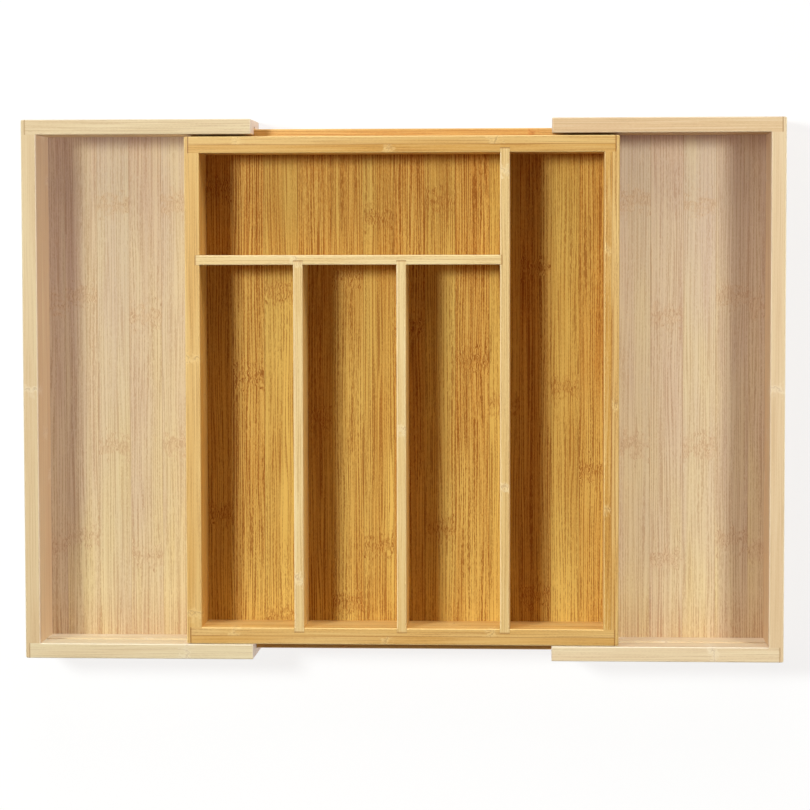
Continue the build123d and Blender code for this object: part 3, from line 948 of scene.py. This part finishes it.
@dataclass
class Studio:
    """A pale floor, soft light from the back left, and the camera that looks down on the tray.

    Attributes:
        floor_size: Side of the square floor, in metres.
        floor_drop: How far the floor lies under the tray, so that their faces don't lie in one plane.
        floor_colour: Colour of the floor in light that bounces.
        floor_glow: How much of the floor's white is its own, so that the shadows on it stay faint.
        fill_colour: Colour of the light from all round, that of a warm room.
        fill_strength: Share of the full light level that comes from all round.
        floor_lamps: Those of the tray's floor: the main one at the back left, and two warm ones for the
            reddish shadows that the photograph shows on it.
        wall_lamps: Those of its walls and dividers: the main one, and two low ones behind it.
        left_wing_lamps: Those of the left wing: the main one, and one that lifts its shadows.
        right_wing_lamps: The same for the right wing, which the photograph shows in mirrored light, and
            one on the left, from which the tray shades the wing beside it.
        back_lamp: A wide lamp behind the tray, which lights the wings and the floor.
        front_lamp: A low cool lamp, which takes the red off the inside of the wings' front walls.
        under_lamp: A lamp under the floor, which only the underside of the tray gets light from.
        camera_place: The camera's place, in metres.
        camera_turn: The camera's turn about X, Y and Z, in radians.
        lens: Focal length, in mm on the camera's 36 mm frame.
    """

    floor_size: float = 12.0
    floor_drop: float = 0.0002
    floor_colour: str = WHITE
    floor_glow: float = 0.84
    fill_colour: str = "#FFDCB8"
    fill_strength: float = 0.125
    floor_lamps: tuple[Lamp, ...] = (
        Lamp("floor_main_lamp", MAIN_PLACE, MAIN_SIZE, 0.83, "#F7FFFF"),
        Lamp("floor_back_lamp", (0.0, 1.10, 0.45), (0.8, 0.5), 0.07, "#FFC488"),
        Lamp("floor_lift_lamp", (0.20, 0.30, 1.00), (0.5, 0.4), 0.07, "#FFA468", shadows=False))
    wall_lamps: tuple[Lamp, ...] = (
        Lamp("wall_main_lamp", MAIN_PLACE, MAIN_SIZE, 0.64),
        Lamp("wall_back_lamp", (0.0, 1.10, 0.35), (0.8, 0.5), 0.11),
        Lamp("wall_side_lamp", (0.95, 0.80, 0.45), LIFT_SIZE, 0.11, "#FFE4C0"))
    left_wing_lamps: tuple[Lamp, ...] = (
        Lamp("left_wing_lamp", MAIN_PLACE, MAIN_SIZE, 0.54, "#FAFFF0"),
        Lamp("left_lift_lamp", (0.42, 0.28, 0.50), LIFT_SIZE, 0.34, "#EAE6FF", shadows=False))
    right_wing_lamps: tuple[Lamp, ...] = (
        Lamp("right_wing_lamp", (1.26, 0.40, 1.75), MAIN_SIZE, 0.53, "#FAFFFA"),
        Lamp("right_shading_lamp", MAIN_PLACE, (0.7, 1.2), 0.20),
        Lamp("right_lift_lamp", (-0.30, 0.50, 0.55), LIFT_SIZE, 0.12, "#FFE0FF", shadows=False))
    back_lamp: Lamp = Lamp("back_lamp", (0.0, 1.10, 0.55), (0.8, 0.8), 0.12)
    front_lamp: Lamp = Lamp("front_lamp", (0.0, 1.20, 0.20), (0.8, 0.4), 0.04, "#82C9FF", shadows=False)
    under_lamp: Lamp = Lamp("under_lamp", (-0.8, -0.6, -1.8), (0.6, 0.6), 0.28, through_floor=True)
    camera_place: tuple[float, float, float] = (0.0970, 0.0956, 1.8162)
    camera_turn: tuple[float, float, float] = (-0.0594, 0.0534, -0.0019)
    lens: float = 118.77

    def seen_directly(self, tree: Tree) -> Node:
        """Adds the nodes that tell rays which show the background from rays that only carry light.

        Args:
            tree: The tree that gets them.

        Returns:
            The node whose value is 1 for camera, glossy and transmission rays.
        """
        path = add_node(tree, "ShaderNodeLightPath").outputs
        shiny = add_node(tree, MATH, {
            0: path["Is Glossy Ray"], 1: path["Is Transmission Ray"]}, operation="MAXIMUM")
        return add_node(tree, MATH, {0: path["Is Camera Ray"], 1: shiny}, operation="MAXIMUM")

    def floor(self) -> Object:
        """Makes the pale floor, a matt sheet whose own white keeps the shadows on it faint.

        Returns:
            The floor. It can't be seen from below, so that the tray's underside can.
        """
        half = self.floor_size / 2
        corners = ((-half, -half), (half, -half), (half, half), (-half, half))
        mesh = bpy.data.meshes.new("studio_floor")
        mesh.from_pydata([(x, y, -self.floor_drop) for x, y in corners], [], [(0, 1, 2, 3)])
        floor = new_object("studio_floor", mesh)
        material = bpy.data.materials.new("matt_white_studio_floor")
        tree = empty_tree(material)
        share = add_node(tree, MATH, {0: self.seen_directly(tree), 1: self.floor_glow}, operation="MULTIPLY")
        matt = add_node(tree, "ShaderNodeBsdfDiffuse", {"Color": linear(self.floor_colour)})
        glow = add_node(tree, "ShaderNodeEmission", {"Color": linear(WHITE), "Strength": 1.0})
        sheet = add_node(tree, "ShaderNodeMixShader", {0: share, 1: matt, 2: glow})
        below = add_node(tree, "ShaderNodeNewGeometry").outputs["Backfacing"]
        clear = add_node(tree, "ShaderNodeBsdfTransparent")
        surface = add_node(tree, "ShaderNodeMixShader", {0: below, 1: sheet, 2: clear})
        add_node(tree, "ShaderNodeOutputMaterial", {"Surface": surface})
        mesh.materials.append(material)
        floor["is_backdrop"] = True
        return floor

    def world(self) -> None:
        """Makes the light from all round, and the white that the camera sees behind the floor."""
        world = bpy.data.worlds.new("studio_surround")
        tree = empty_tree(world)
        seen = self.seen_directly(tree)
        strength = add_node(tree, MIX, {
            "Factor": seen, "A": self.fill_strength, "B": 1.0}, data_type="FLOAT")
        colour = add_node(tree, MIX, {
            "Factor": seen, "A": linear(self.fill_colour), "B": linear(WHITE)}, data_type="RGBA")
        surround = add_node(tree, "ShaderNodeBackground", {"Color": colour, "Strength": strength})
        add_node(tree, "ShaderNodeOutputWorld", {"Surface": surround})
        bpy.context.scene.world = world

    def camera(self) -> None:
        """Places the camera above the tray, where the photograph was taken."""
        camera = bpy.data.cameras.new("camera")
        camera.lens = self.lens
        camera.clip_start = 0.05
        view = new_object("camera", camera)
        view.location = self.camera_place
        view.rotation_euler = self.camera_turn
        bpy.context.scene.camera = view

    def build(self) -> None:
        """Sets up the floor, the light and the camera."""
        floor = self.floor()
        self.world()
        pieces = {name: [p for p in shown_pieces() if body_of(p) == [name]] for name in frame["bodies"]}
        walls = [piece for piece in pieces["centre_tray"] if piece.name in frame["nodes"]]
        panel = [piece for piece in pieces["centre_tray"] if piece not in walls]
        fronts = [frame["nodes"][f"{side.value}_wing_front_wall"] for side in Side]
        for lamps, lit in (
                (self.floor_lamps, [*panel, floor]),
                (self.wall_lamps, walls),
                (self.left_wing_lamps, pieces["left_wing"]),
                (self.right_wing_lamps, pieces["right_wing"]),
                ((self.back_lamp,), [*pieces["left_wing"], *pieces["right_wing"], floor]),
                ((self.front_lamp,), fronts),
                ((self.under_lamp,), [*walls, *panel, *pieces["left_wing"], *pieces["right_wing"]])):
            for lamp in lamps:
                lamp.hang(lit)
        self.camera()
        scene = bpy.context.scene
        scene.view_settings.view_transform = "Standard"
        log.info("the studio is set up")


def main() -> None:
    """Builds the tray, its wings and the studio, in that order."""
    logging.basicConfig(level=logging.INFO, format="%(name)s: %(message)s")
    CentreTray().build()
    Wing(Side.LEFT, seed=21, back_depth=0.25, front_depth=0.12).build()
    Wing(Side.RIGHT, seed=47, back_depth=0.75, front_depth=0.3).build()
    Studio().build()


if __name__ == "__main__":
    main()
